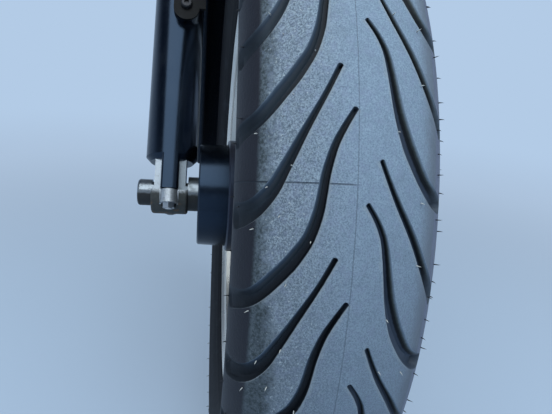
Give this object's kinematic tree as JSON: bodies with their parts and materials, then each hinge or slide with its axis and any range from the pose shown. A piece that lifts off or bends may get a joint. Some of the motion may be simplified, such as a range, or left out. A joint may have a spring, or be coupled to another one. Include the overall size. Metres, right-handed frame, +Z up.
{
  "type": "motorcycle front end",
  "caption": "Front end of a cruiser motorcycle: laced wheel and tyre turning on an axle in a raked telescopic fork, with fork clamps, stem, fender, brake disc and caliper.",
  "frame": {"origin": "middle of the lower bearing seat on the steering stem", "axes": "+X forward, +Y to the rider's left along the axle, +Z up; the stem and legs lean back 29 degrees"},
  "size_m": [0.7522, 0.3159, 1.0118],
  "materials": {
    "tyre": "dusty moulded tread, satin sidewalls",
    "rim_plating": "bright plated",
    "spoke_steel": "bright plated",
    "hub_paint": "gloss black",
    "machined_steel": "turned and zinc plated",
    "disc_steel": "ground",
    "bolt_steel": "dark zinc",
    "slider_paint": "gloss black over a machined foot",
    "cast_aluminium": "cast and machined",
    "tube_plating": "hard chrome",
    "seal_rubber": "matt",
    "clamp_paint": "satin black",
    "fender_paint": "gloss black",
    "caliper_paint": "satin black",
    "pad_lining": "sintered lining"
  },
  "bodies": {
    "fork": {"axle": "machined_steel", "axle_nut": "machined_steel", "axle_washer": "machined_steel", "spacer_left": "machined_steel", "spacer_right": "machined_steel", "cap_studs": "machined_steel", "stem_nut": "machined_steel", "steering_stem": "machined_steel", "pinch_bolts": "bolt_steel", "caliper_bolts": "bolt_steel", "bracket_bolts_left": "bolt_steel", "bracket_bolts_right": "bolt_steel", "slider_left": "slider_paint", "slider_right": "slider_paint", "axle_cap": "cast_aluminium", "fork_tube_left": "tube_plating", "fork_tube_right": "tube_plating", "fork_cap_left": "tube_plating", "fork_cap_right": "tube_plating", "dust_seal_left": "seal_rubber", "dust_seal_right": "seal_rubber", "lower_clamp": "clamp_paint", "upper_clamp": "clamp_paint", "fender": "fender_paint", "fender_bracket_left": "fender_paint", "fender_bracket_right": "fender_paint", "caliper": "caliper_paint", "brake_pads": "pad_lining"},
    "wheel": {"tyre": "tyre", "rim": "rim_plating", "valve_stem": "machined_steel", "spokes": "spoke_steel", "hub": "hub_paint", "hub_bearings": "machined_steel", "brake_disc": "disc_steel", "disc_bolts": "bolt_steel"}
  },
  "joints": [
    {"name": "wheel_spin", "type": "hinge", "parent": "fork", "child": "wheel", "pos_m": [0.30116, 0, -0.45048], "axis": [0, 1, 0], "continuous": true}
  ]
}
